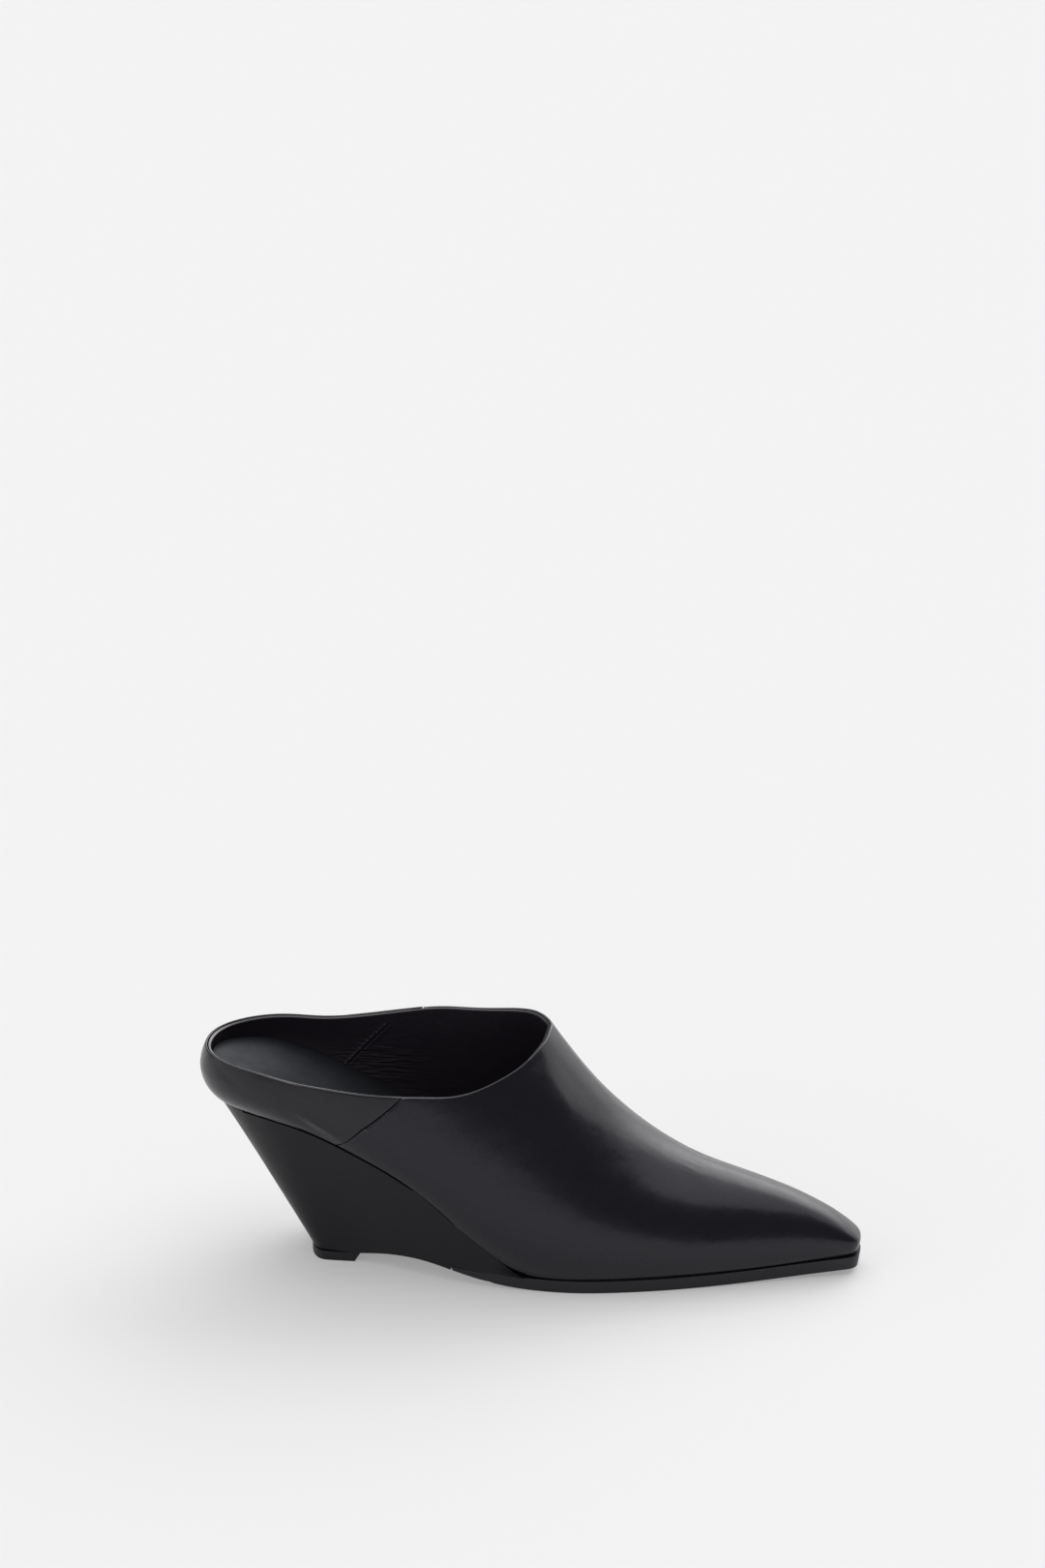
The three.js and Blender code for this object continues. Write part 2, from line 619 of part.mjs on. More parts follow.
function piece(name, geometry, material) {
  const mesh = new THREE.Mesh(geometry, material);
  mesh.name = name;
  return mesh;
}

const shoe = new THREE.Group();
shoe.add(
  piece("upper", makeUpper(), leather),
  piece("heel_quarter", makeQuarter(), leather.clone()),
  piece("insole", makeInsole(), footbedLeather),
  piece("wedge", makeWedge(), leather.clone()),
  piece("outsole", makeOutsole(), soleRubber),
  piece("top_lift", makeLift(), soleRubber.clone()),
);

// The origin is on the floor, under the middle of the shoe's box.
const box = new THREE.Box3().setFromObject(shoe);
const middle = box.getCenter(new THREE.Vector3());
shoe.position.set(-middle.x, -middle.y, -box.min.z);

export default shoe;
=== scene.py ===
# %% [markdown]
# # A wedge mule in black leather
# The solids of this shoe already have their true sizes and places: the upper's wall, the outer strip of the
# heel, the footbed, the wedge, the forefoot sole and the small lift. They are faceted and bare. Here each one
# gets the surface that a finished shoe has, a material, and a place in the picture.
# All lengths are in metres. +X runs from heel to toe, +Y to the inner side of the foot, and Z = 0 is the floor.

# %% Load the solids
import json
import math

import bmesh
import bpy
import numpy as np
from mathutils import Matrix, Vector
from mathutils.kdtree import KDTree

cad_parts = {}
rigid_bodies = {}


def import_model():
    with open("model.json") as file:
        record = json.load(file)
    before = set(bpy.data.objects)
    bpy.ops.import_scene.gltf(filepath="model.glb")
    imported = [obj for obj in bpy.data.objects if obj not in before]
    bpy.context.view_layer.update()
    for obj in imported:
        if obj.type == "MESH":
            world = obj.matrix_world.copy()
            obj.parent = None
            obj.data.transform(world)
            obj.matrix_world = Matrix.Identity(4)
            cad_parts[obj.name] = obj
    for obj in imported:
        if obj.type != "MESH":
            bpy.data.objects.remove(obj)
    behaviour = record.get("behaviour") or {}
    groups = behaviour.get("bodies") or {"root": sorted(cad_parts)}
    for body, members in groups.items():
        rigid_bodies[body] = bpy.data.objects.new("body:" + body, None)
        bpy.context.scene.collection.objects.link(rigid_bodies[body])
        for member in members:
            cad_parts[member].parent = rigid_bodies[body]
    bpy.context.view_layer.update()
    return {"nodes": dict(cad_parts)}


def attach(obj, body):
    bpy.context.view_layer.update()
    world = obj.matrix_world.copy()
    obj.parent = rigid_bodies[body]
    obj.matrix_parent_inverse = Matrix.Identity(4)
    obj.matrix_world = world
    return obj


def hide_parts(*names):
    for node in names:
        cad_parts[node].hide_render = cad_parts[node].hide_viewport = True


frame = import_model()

MM = 0.001
RIM_ABOVE = 66 * MM  # the rim of the opening lies above this height, and the edge along the wedge below it
print("solids:", ", ".join(sorted(frame["nodes"])))

# %% [markdown]
# ## The grain of black calf
# Smooth calf has a very fine grain and, over it, a slow unevenness that bends the highlights. Both are heights
# that change over the surface, so one group makes them from the piece's own coordinates, and each material sets
# how strong they are. Its second output is a mottle that makes the polish a little dull here and there.

# %% Helpers for node groups
FLOAT, VECTOR = "NodeSocketFloat", "NodeSocketVector"


def new_group(name, inputs, outputs):
    group = bpy.data.node_groups.new(name, "ShaderNodeTree")
    for label, kind, value in inputs:
        socket = group.interface.new_socket(label, in_out="INPUT", socket_type=kind)
        if value is not None:
            socket.default_value = value
    for label, kind in outputs:
        group.interface.new_socket(label, in_out="OUTPUT", socket_type=kind)
    return group, group.nodes.new("NodeGroupInput"), group.nodes.new("NodeGroupOutput")


def math_node(tree, operation, *values):
    """A Math node over sockets or numbers. Gives its output."""
    node = tree.nodes.new("ShaderNodeMath")
    node.operation = operation
    for place, value in enumerate(values):
        if isinstance(value, (int, float)):
            node.inputs[place].default_value = value
        else:
            tree.links.new(value, node.inputs[place])
    return node.outputs[0]


def noise(tree, vector, scale, detail=2.0, roughness=0.5):
    node = tree.nodes.new("ShaderNodeTexNoise")
    node.inputs["Scale"].default_value = scale
    node.inputs["Detail"].default_value = detail
    node.inputs["Roughness"].default_value = roughness
    tree.links.new(vector, node.inputs["Vector"])
    return node.outputs["Fac"]


# %% Node group: leather grain
PEBBLES = 1500  # per metre, so a pebble of the grain is two thirds of a millimetre wide
WAVES = 45  # per metre, the slow unevenness
MOTTLES = 140  # per metre, the changes of polish

grain, grain_in, grain_out = new_group(
    "leather_grain",
    [("Vector", VECTOR, None), ("Grain", FLOAT, 1.0), ("Unevenness", FLOAT, 1.0)],
    [("Height", FLOAT), ("Mottle", FLOAT)])
cells = grain.nodes.new("ShaderNodeTexVoronoi")
cells.feature = "SMOOTH_F1"
cells.inputs["Scale"].default_value = PEBBLES
grain.links.new(grain_in.outputs["Vector"], cells.inputs["Vector"])
pebbles = math_node(grain, "MULTIPLY", cells.outputs["Distance"], 0.02)
fine = math_node(grain, "MULTIPLY", pebbles, grain_in.outputs["Grain"])
slow = noise(grain, grain_in.outputs["Vector"], WAVES, detail=3.0)
slow = math_node(grain, "MULTIPLY", slow, grain_in.outputs["Unevenness"])
grain.links.new(math_node(grain, "ADD", fine, slow), grain_out.inputs["Height"])
mottle = noise(grain, grain_in.outputs["Vector"], MOTTLES, detail=5.0, roughness=0.6)
grain.links.new(mottle, grain_out.inputs["Mottle"])
print("group:", grain.name, [item.name for item in grain.interface.items_tree])

# %% [markdown]
# ## Fine wrinkles of the lining
# The lining is thin and lies loose where it turns in over the footbed, so it gathers there in level wrinkles
# about a millimetre apart. The group stretches a noise along the wall and lets it fade out round that place.

# %% Node group: lining wrinkles
GATHERED_AT = (-67 * MM, 66 * MM)  # along the shoe and above the floor
GATHERED_REACH = (17 * MM, 10 * MM)
WRINKLES = (110, 110, 950)  # per metre: long and level, close above each other
ELSEWHERE = 0.06  # what is left of them on the rest of the lining

wrinkle, wrinkle_in, wrinkle_out = new_group(
    "lining_wrinkles", [("Vector", VECTOR, None), ("Depth", FLOAT, 1.0)], [("Height", FLOAT)])
stretch = wrinkle.nodes.new("ShaderNodeVectorMath")
stretch.operation = "MULTIPLY"
stretch.inputs[1].default_value = WRINKLES
wrinkle.links.new(wrinkle_in.outputs["Vector"], stretch.inputs[0])
lines = noise(wrinkle, stretch.outputs["Vector"], 1.0, detail=2.0)
place = wrinkle.nodes.new("ShaderNodeSeparateXYZ")
wrinkle.links.new(wrinkle_in.outputs["Vector"], place.inputs[0])
squares = []
for axis, middle, reach in zip("XZ", GATHERED_AT, GATHERED_REACH):
    off = math_node(wrinkle, "SUBTRACT", place.outputs[axis], middle)
    squares.append(math_node(wrinkle, "POWER", math_node(wrinkle, "DIVIDE", off, reach), 2.0))
spread = math_node(wrinkle, "ADD", *squares)
fade = math_node(wrinkle, "EXPONENT", math_node(wrinkle, "MULTIPLY", spread, -1.0))
fade = math_node(wrinkle, "ADD", fade, ELSEWHERE)
wrinkled = math_node(wrinkle, "MULTIPLY", lines, fade)
deep = math_node(wrinkle, "MULTIPLY", wrinkled, wrinkle_in.outputs["Depth"])
wrinkle.links.new(deep, wrinkle_out.inputs["Height"])
print("group:", wrinkle.name)

# %% [markdown]
# ## Materials
# All the leather is black calf, so one function makes the materials and each piece sets its own values. The
# vamp and the strip are polished and carry a thin coat of finish. The wedge's cover is the same calf with less
# polish. The footbed is a duller black, and duller still from the heel forward, where a foot rubs it. Its
# bluish, lighter tone is partly its own and partly a painted sheen: the cool light of the sky above, put into
# its colour.
# The lining is dark and brownish and has no finish. The sole and the lift are cut from a dull sheet. The gloss
# of the dye has a faint violet cast. Along the wedge's top edge, where its cover runs in under the upper, a
# dead-black band is painted shade: it stands for the shadow in that seam.

# %% A black material
GLOSS_CAST = (0.95, 0.91, 1.0, 1)
COAT_ROUGHNESS = 0.18
MOTTLED = 0.05  # roughness to either side of the mean
DULL_FROM, DULL_TO = -128 * MM, -93 * MM  # along the shoe, where the footbed turns dull


def black(name, colour, roughness, shine, grain_size, unevenness, depth, coat=0.0, wrinkles=0.0, dull_front=0.0):
    """A black with this colour, mean roughness and shine. grain_size and unevenness are strengths, depth is the
    relief's height. coat is the finish on top, wrinkles the lining's gathers, dull_front the roughness that is
    added towards the front."""
    material = bpy.data.materials.new(name)
    material.use_nodes = True
    tree = material.node_tree
    shader = tree.nodes["Principled BSDF"]
    shader.inputs["Base Color"].default_value = (*colour, 1)
    shader.inputs["Specular IOR Level"].default_value = shine
    shader.inputs["Specular Tint"].default_value = GLOSS_CAST
    shader.inputs["Coat Weight"].default_value = coat
    shader.inputs["Coat Roughness"].default_value = COAT_ROUGHNESS
    place = tree.nodes.new("ShaderNodeTexCoord").outputs["Object"]
    relief = tree.nodes.new("ShaderNodeGroup")
    relief.node_tree = grain
    relief.inputs["Grain"].default_value = grain_size
    relief.inputs["Unevenness"].default_value = unevenness
    tree.links.new(place, relief.inputs["Vector"])
    rough = tree.nodes.new("ShaderNodeMapRange")
    rough.inputs["From Min"].default_value = 0.3
    rough.inputs["From Max"].default_value = 0.7
    rough.inputs["To Min"].default_value = roughness - MOTTLED
    rough.inputs["To Max"].default_value = roughness + MOTTLED
    tree.links.new(relief.outputs["Mottle"], rough.inputs["Value"])
    tree.links.new(rough.outputs["Result"], shader.inputs["Roughness"])
    if dull_front:
        forward = tree.nodes.new("ShaderNodeSeparateXYZ")
        tree.links.new(place, forward.inputs[0])
        dulling = tree.nodes.new("ShaderNodeMapRange")
        dulling.inputs["From Min"].default_value = DULL_FROM
        dulling.inputs["From Max"].default_value = DULL_TO
        dulling.inputs["To Max"].default_value = dull_front
        tree.links.new(forward.outputs["X"], dulling.inputs["Value"])
        duller = math_node(tree, "ADD", rough.outputs["Result"], dulling.outputs["Result"])
        tree.links.new(duller, shader.inputs["Roughness"])
    raised = tree.nodes.new("ShaderNodeBump")
    raised.inputs["Distance"].default_value = depth
    raised.inputs["Strength"].default_value = 1.0
    height = relief.outputs["Height"]
    if wrinkles:
        folds = tree.nodes.new("ShaderNodeGroup")
        folds.node_tree = wrinkle
        folds.inputs["Depth"].default_value = wrinkles
        tree.links.new(place, folds.inputs["Vector"])
        height = math_node(tree, "ADD", height, folds.outputs["Height"])
    tree.links.new(height, raised.inputs["Height"])
    tree.links.new(raised.outputs["Normal"], shader.inputs["Normal"])
    return material


vamp_calf = black("vamp_calf", (0.0055, 0.005, 0.0088), 0.28, 0.345, 1.0, 1.0, 0.5 * MM, coat=0.14)
edge_calf = black("folded_edge_calf", (0.012, 0.012, 0.014), 0.3, 0.5, 0.6, 0.4, 0.3 * MM, coat=0.3)
strip_calf = black("strip_calf", (0.0055, 0.005, 0.0075), 0.29, 0.38, 1.0, 1.0, 0.5 * MM, coat=0.14)
wedge_calf = black("wedge_calf", (0.0055, 0.005, 0.0057), 0.42, 0.3, 1.0, 1.0, 0.4 * MM)
# The bluish, lighter colour is partly painted sheen: the cool light the footbed takes from the sky above.
footbed_calf = black("footbed_calf", (0.011, 0.0145, 0.0175), 0.5, 0.27, 1.3, 1.2, 0.5 * MM, dull_front=0.35)
lining_calf = black("lining_calf", (0.026, 0.020, 0.029), 0.55, 0.5, 2.0, 1.5, 0.5 * MM, wrinkles=2.3)
# Painted shade: a dead-black, dull band on the wedge's turned top edge stands for the shadow in the seam under
# the upper.
painted_seam_shade = black("painted_seam_shade", (0.002, 0.002, 0.002), 0.8, 0.1, 1.0, 1.0, 0.2 * MM)
sole_sheet = black("sole_sheet", (0.0115, 0.0112, 0.0135), 0.48, 0.42, 1.0, 1.0, 0.4 * MM)
lift_sheet = black("lift_sheet", (0.0085, 0.0085, 0.0095), 0.52, 0.42, 1.0, 1.0, 0.4 * MM)
print("materials:", [m.name for m in (vamp_calf, edge_calf, strip_calf, wedge_calf, footbed_calf, lining_calf)])

# %% [markdown]
# ## A working copy of a solid
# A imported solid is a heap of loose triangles. To smooth it, its corners are joined and its triangles paired
# back into the four-sided faces they came from, because subdivision only runs smoothly over four-sided faces.
# The two curved walls were split in turn one way and the other, so every diagonal joins two corners with more
# than four edges, and no other edge does: dissolving those edges gives the grid back exactly.
# The blocks under the foot are simpler, and Blender's own pairing finds their faces.

# %% Copy a solid, join its corners and bring its four-sided faces back
def only(piece):
    """Leaves this one object selected and active."""
    bpy.ops.object.select_all(action="DESELECT")
    piece.select_set(True)
    bpy.context.view_layer.objects.active = piece


def copy_solid(node, name, materials, woven=False):
    """A joined, four-sided copy of a node's mesh. woven is for walls whose faces were split in turn."""
    bpy.ops.object.select_all(action="DESELECT")
    piece = frame["nodes"][node].copy()
    piece.data = piece.data.copy()
    piece.name = piece.data.name = name
    piece.parent = None
    for key in list(piece.keys()):
        del piece[key]
    piece.data.materials.clear()
    for material in materials:
        piece.data.materials.append(material)
    bpy.context.scene.collection.objects.link(piece)
    only(piece)
    bpy.ops.object.mode_set(mode="EDIT")
    bpy.ops.mesh.select_all(action="SELECT")
    bpy.ops.mesh.remove_doubles(threshold=0.01 * MM)
    bpy.ops.mesh.customdata_custom_splitnormals_clear()
    if woven:
        bpy.ops.mesh.select_mode(type="EDGE")
        bpy.ops.mesh.select_all(action="DESELECT")
        mesh = bmesh.from_edit_mesh(piece.data)
        for edge in mesh.edges:
            if all(len(corner.link_edges) > 4 for corner in edge.verts):
                edge.select = True
        bmesh.update_edit_mesh(piece.data)
        bpy.ops.mesh.dissolve_edges(use_verts=False)
    else:
        bpy.ops.mesh.tris_convert_to_quads(
            face_threshold=math.radians(100), shape_threshold=math.radians(180), topology_influence=2.0)
    bpy.ops.mesh.select_all(action="DESELECT")
    bpy.ops.object.mode_set(mode="OBJECT")
    sides = [len(face.vertices) for face in piece.data.polygons]
    print(f"{name}: {sides.count(4)} four-sided faces of {len(sides)}")
    return piece


# %% [markdown]
# ## Edges and smoothing
# A cut or folded leather edge is never sharp. Such an edge is bevelled first, which also pins the form there,
# and then the whole piece is subdivided. An edge that stays crisp, as at the foot of the wedge, is creased and
# marked sharp instead. The modifier is applied, so what follows works on the finished surface.

# %% Helpers that select, bevel, smooth and press
def select_sharp(degrees):
    bpy.ops.mesh.select_mode(type="EDGE")
    bpy.ops.mesh.select_all(action="DESELECT")
    bpy.ops.mesh.edges_select_sharp(sharpness=math.radians(degrees))


def bevel_edges(piece, width, degrees=50, segments=2, where=None, slot=-1):
    """Bevels the piece's sharp edges, or those of them for which where(edge) is true. slot is the material slot
    of the new faces, and -1 takes it from the faces beside them."""
    only(piece)
    bpy.ops.object.mode_set(mode="EDIT")
    select_sharp(degrees)
    mesh = bmesh.from_edit_mesh(piece.data)
    for edge in mesh.edges:
        if edge.select and where and not where(edge):
            edge.select = False
    bmesh.update_edit_mesh(piece.data)
    bpy.ops.mesh.bevel(offset=width, segments=segments, profile=0.5, clamp_overlap=True, material=slot)
    bpy.ops.mesh.select_all(action="DESELECT")
    bpy.ops.object.mode_set(mode="OBJECT")


def crease_edges(piece, strength, degrees=40):
    """Keeps the piece's sharp edges crisp through the smoothing."""
    only(piece)
    bpy.ops.object.mode_set(mode="EDIT")
    select_sharp(degrees)
    bpy.ops.transform.edge_crease(value=strength)
    bpy.ops.mesh.mark_sharp()
    bpy.ops.mesh.select_all(action="DESELECT")
    bpy.ops.object.mode_set(mode="OBJECT")


def smooth(piece, levels):
    only(piece)
    rounding = piece.modifiers.new("rounding", "SUBSURF")
    rounding.levels = rounding.render_levels = levels
    bpy.ops.object.modifier_apply(modifier=rounding.name)
    bpy.ops.object.shade_smooth()
    triangles = sum(len(face.vertices) - 2 for face in piece.data.polygons)
    print(f"{piece.name}: {triangles} triangles")


def select_faces(piece, wanted):
    """Selects the faces for which wanted(face) is true, and leaves the piece in edit mode."""
    only(piece)
    for corner in piece.data.vertices:
        corner.select = False
    for edge in piece.data.edges:
        edge.select = False
    for face in piece.data.polygons:
        face.select = bool(wanted(face))
    bpy.ops.object.mode_set(mode="EDIT")
    bpy.ops.mesh.select_mode(type="FACE")


def points_and_normals(piece):
    places = np.array([corner.co for corner in piece.data.vertices])
    normals = np.array([corner.normal for corner in piece.data.vertices])
    return places, normals


def move_points(piece, places):
    piece.data.vertices.foreach_set("co", places.ravel())
    piece.data.update()


def beside(places, start, end):
    """Each place against a line in side view: its share of the way along it, and its distance to the left."""
    start, end = np.array(start) * MM, np.array(end) * MM
    run = end - start
    offset = places[:, [0, 2]] - start
    length = np.hypot(*run)
    return offset @ run / length**2, offset @ np.array([-run[1], run[0]]) / length


def hill(value, middle, width):
    """1 at the middle, falling off smoothly on both sides."""
    return np.exp(-(((value - middle) / width) ** 2))


# %% [markdown]
# ## The upper
# On the real shoe the upper is outer leather over a lining, folded at the opening so that two thin rolled edges
# run side by side with a dark line between them. One wall stands for both layers. Its rim is picked out, inset,
# and the middle pushed down, which leaves the two rolls. The inner wall gets a slot of its own for the lining.

# %% Upper: sort its faces into leather, lining and rim
LEATHER, LINING, EDGE = 0, 1, 2  # the upper's material slots

upper = copy_solid("upper", "upper_leather", (vamp_calf, lining_calf, edge_calf), woven=True)


def reach_from(seed):
    """The faces around a seed face up to the hard edges, by number."""
    bpy.ops.mesh.select_mode(type="FACE")
    bpy.ops.mesh.select_all(action="DESELECT")
    mesh = bmesh.from_edit_mesh(upper.data)
    mesh.faces.ensure_lookup_table()
    mesh.faces[seed].select = True
    bmesh.update_edit_mesh(upper.data)
    bpy.ops.mesh.select_linked(delimit={"SHARP"})
    return {face.index for face in bmesh.from_edit_mesh(upper.data).faces if face.select}


def top_face(facing):
    """The highest face over the toes that looks up (1) or down (-1)."""
    faces = [f for f in upper.data.polygons if f.center.x > 60 * MM and f.normal.z * facing > 0.8]
    return max(faces, key=lambda face: face.center.z).index


outer_seed, inner_seed = top_face(1), top_face(-1)
only(upper)
bpy.ops.object.mode_set(mode="EDIT")
select_sharp(48)
bpy.ops.mesh.mark_sharp()
outer_faces = reach_from(outer_seed)
inner_faces = reach_from(inner_seed)
bpy.ops.object.mode_set(mode="OBJECT")
outer_corners = {v for f in outer_faces for v in upper.data.polygons[f].vertices}
inner_corners = {v for f in inner_faces for v in upper.data.polygons[f].vertices}
rim_faces = {
    f.index for f in upper.data.polygons
    if f.index not in outer_faces | inner_faces and f.normal.z > -0.3
    and len(outer_corners & set(f.vertices)) == 2 and len(inner_corners & set(f.vertices)) == 2
}
for face in upper.data.polygons:
    if face.index in outer_faces:
        face.material_index = LEATHER
    elif face.index in inner_faces:
        face.material_index = LINING
    else:
        face.material_index = EDGE
print("outer", len(outer_faces), "inner", len(inner_faces), "rim of the vamp", len(rim_faces))

# %% Upper: the folded rim with its dark line
FOLD = 1.05 * MM  # width of each roll
GROOVE = 0.9 * MM  # depth of the line between them
RIM_ROLL = 0.8 * MM
LASTED_ROLL = 0.6 * MM
OTHER_ROLL = 0.25 * MM
WEDGE_FRONT = -20 * MM  # in front of this the wedge is too thin to show a seam
select_faces(upper, lambda face: face.index in rim_faces)
bpy.ops.mesh.inset(thickness=FOLD, depth=0, use_boundary=True, use_even_offset=True)
bpy.ops.mesh.extrude_region_shrink_fatten(TRANSFORM_OT_shrink_fatten={"value": -GROOVE})
bpy.ops.mesh.select_all(action="SELECT")
bpy.ops.mesh.mark_sharp(clear=True)
bpy.ops.object.mode_set(mode="OBJECT")


def outer_roll(edge):
    """The edge where the vamp's skin turns over into its rim."""
    slots = {face.material_index for face in edge.link_faces}
    return slots == {LEATHER, EDGE} and all(corner.co.z > RIM_ABOVE for corner in edge.verts)


def lasted_edge(edge):
    """The edge along the wedge where the vamp's skin turns under."""
    slots = {face.material_index for face in edge.link_faces}
    behind_ball = all(corner.co.x < WEDGE_FRONT and corner.co.z < RIM_ABOVE for corner in edge.verts)
    return slots == {LEATHER, EDGE} and behind_ball


bevel_edges(upper, RIM_ROLL, degrees=40, segments=3, where=outer_roll)
bevel_edges(upper, LASTED_ROLL, degrees=40, where=lasted_edge)
bevel_edges(upper, OTHER_ROLL, degrees=48)
smooth(upper, 2)

# %% [markdown]
# Lasting pulls the vamp tight over the instep, so its skin is fair there. The smoothing below evens out what is
# left of the grid, away from the edges and from the toe.

# %% Upper: an even skin over the instep
TOE_BOX = 75 * MM  # from here forward the stiffened toe keeps its shape
select_faces(upper, lambda face: face.material_index == LEATHER and face.center.x < TOE_BOX)
for _ in range(3):
    bpy.ops.mesh.select_less()
bpy.ops.mesh.vertices_smooth(factor=0.5, repeat=24)
bpy.ops.object.mode_set(mode="OBJECT")

# %% [markdown]
# Over the joint of the toes the skin sinks a little on both sides of the ridge, because the leather is
# stretched from the ridge down to the sole there. The hollow is under a millimetre deep, but it narrows the
# highlight along the ridge and gives the side its slow change from grey to black. Beside the throat the
# stiffened leather stands out a little instead, and the highlight is broad there.

# %% Upper: the soft hollows beside the ridge and the fuller throat
def rim_distance(piece, places, wanted):
    """Distance from each wanted place to the rim of the opening, and 0 for the others."""
    edge = [face for face in piece.data.polygons if face.material_index == EDGE]
    rim = [face for face in edge if face.normal.z > 0.5 and face.center.z > RIM_ABOVE]
    tree = KDTree(len(rim))
    for face in rim:
        tree.insert(face.center, face.index)
    tree.balance()
    return np.array([tree.find(Vector(place))[2] if want else 0.0 for place, want in zip(places, wanted)])


def points_of(piece, slot):
    """Which of the piece's points lie on a face with this material slot."""
    wanted = np.zeros(len(piece.data.vertices), bool)
    for face in piece.data.polygons:
        if face.material_index == slot:
            wanted[list(face.vertices)] = True
    return wanted


places, normals = points_and_normals(upper)
skin = points_of(upper, LEATHER)
from_ridge = np.abs(places[:, 1] - 3 * MM)
hollow_line = 27 * MM - 0.255 * (places[:, 0] - 30 * MM)
hollow = 0.9 * hill(places[:, 0], 55 * MM, 27 * MM) * hill(from_ridge, hollow_line, 9 * MM) * skin * MM
swell = 0.8 * hill(places[:, 0], 15 * MM, 12 * MM) * hill(from_ridge, 25 * MM, 7 * MM) * skin * MM
clear_of_rim = rim_distance(upper, places, swell > 0.02 * MM) - 1.5 * MM
swell *= np.clip(clear_of_rim / (4 * MM), 0, 1)
move_points(upper, places + normals * (swell - hollow)[:, None])
print("hollows up to", round(hollow.max() / MM, 2), "mm, swelling up to", round(swell.max() / MM, 2), "mm")

# %% [markdown]
# ## The gathered seam of the lining
# Inside, the lining's two parts meet in a slanted seam on each side. The part on the heel's side is gathered,
# so it stands up in a ridge of small puckers beside the dark line of the seam. The wall is cut finer along the
# seam and its points are pushed in and out there. The seam stops short of the folded rim.

# %% Upper: lining seams
SEAM_TOP = (-61.0, 86.6)  # in side view, in mm
SEAM_FOOT = (-80.5, 65.0)
PUCKER = 2.2 * MM  # from one pucker to the next


def near_seam(face):
    along, left = beside(np.array([face.center]), SEAM_TOP, SEAM_FOOT)
    return face.material_index == LINING and -0.05 < along[0] < 1.1 and abs(left[0]) < 4.5 * MM


select_faces(upper, near_seam)
bpy.ops.mesh.subdivide(number_cuts=3)
bpy.ops.object.mode_set(mode="OBJECT")
places, normals = points_and_normals(upper)
lining = points_of(upper, LINING)
along, left = beside(places, SEAM_TOP, SEAM_FOOT)
length = math.dist(SEAM_TOP, SEAM_FOOT) * MM
turns = along * length / PUCKER * 2 * math.pi
puckers = np.sin(turns + 1.3 * np.sin(along * 19) + left / MM) * (0.55 + 0.45 * np.sin(along * 31))
gathered = 0.42 * hill(left, -0.75 * MM, 0.6 * MM) * (1 + 0.5 * puckers)
gathered += 0.1 * hill(left, -2.4 * MM, 1.0 * MM) * puckers
plain = 0.2 * hill(left, 0.8 * MM, 0.6 * MM)
stitch_line = -0.5 * hill(left, 0.0, 0.3 * MM)
below_rim = rim_distance(upper, places, lining)
ends = np.clip(along * 12, 0, 1) * np.clip((1.1 - along) * 12, 0, 1)
ends = ends * np.clip((below_rim - 3.5 * MM) / (2 * MM), 0, 1)
height = (gathered + plain + stitch_line) * ends * lining * MM
move_points(upper, places + normals * height[:, None])
print("lining seams: raised", round(height.max() / MM, 2), "mm and sunk", round(-height.min() / MM, 2), "mm")

# %% [markdown]
# ## The outer strip of the heel
# This is a second layer of leather, about a millimetre thick, that lies in a step of the upper and ends at a
# diagonal seam on each side. Where it is pulled round to the seam it puckers a little: a soft ridge runs down
# to the seam's lower end. Round the heel's back it dips a little under the rim. Its ends are moved close to the
# seam, and its level edges are rolled more than its cut ends.

# %% Heel strip
RIDGE_LINE = (-90.0, 71.0), (-75.0, 61.8)  # in side view, in mm
DIP_LINE = (-123.0, 84.0), (-112.0, 77.5)
NEARER_SEAM = 0.08 * MM


def level(edge):
    return abs(edge.verts[0].co.z - edge.verts[1].co.z) < 1.6 * MM


strip = copy_solid("heel_quarter", "heel_strip", (strip_calf,), woven=True)
select_faces(strip, lambda face: face.normal.x > 0.5 and face.center.x > -85 * MM)
bpy.ops.transform.shrink_fatten(value=NEARER_SEAM)
bpy.ops.object.mode_set(mode="OBJECT")
bevel_edges(strip, 0.4 * MM, degrees=48, where=level)
bevel_edges(strip, 0.15 * MM, degrees=48)
smooth(strip, 2)
places, normals = points_and_normals(strip)
along, left = beside(places, *RIDGE_LINE)
faced = np.clip(np.abs(normals[:, 1]) * 2 - 0.6, 0, 1) * (normals[:, 1] * places[:, 1] > 0)
ridge = 0.6 * hill(left, 0, 1.7 * MM) - 0.35 * hill(left, 3.8 * MM, 2.0 * MM)
ridge -= 0.25 * hill(left, -3.6 * MM, 1.8 * MM)
height = ridge * hill(along, 0.55, 0.6) * faced
along, left = beside(places, *DIP_LINE)
height -= 0.3 * hill(left, 0, 2.0 * MM) * hill(along, 0.5, 0.7) * faced
move_points(strip, places + normals * height[:, None] * MM)
print("heel strip: raised", round(height.max(), 2), "mm and sunk", round(-height.min(), 2), "mm")

# %% [markdown]
# ## The footbed
# The footbed is foam under thin leather. It is a soft low pillow with a rolled edge. A narrow bevel holds the
# edge's place, and two levels of smoothing round it.

# %% Footbed
footbed = copy_solid("insole", "footbed_pad", (footbed_calf,))
bevel_edges(footbed, 0.7 * MM, degrees=25)
smooth(footbed, 2)

# %% [markdown]
# ## Wedge, sole and lift
# The wedge is a light core with leather drawn over it: flat sides, a rolled back and a crisp foot. At the ball
# its cover is skived to nothing between the upper and the sole, so its front end is drawn out thin. Along both
# sides its top edge turns in under the upper, and that turn carries painted shade: a dead-black band that
# stands for the shadow in the seam.
# The sole and the lift are cut from sheet, so their edges stay crisp. The sole's rear is skived thin under the
# wedge, and the lift is trimmed flush with the wedge's foot.

# %% Wedge
TIP_REACH, TIP_DROP, TIP_SHARE = 4.6 * MM, 0.4 * MM, 0.35  # the skived tip: how far, how much lower, how thin
SEAM_WIDTH = 0.65 * MM
SEAM_BACK = -117 * MM  # behind this the cover goes straight up under the heel

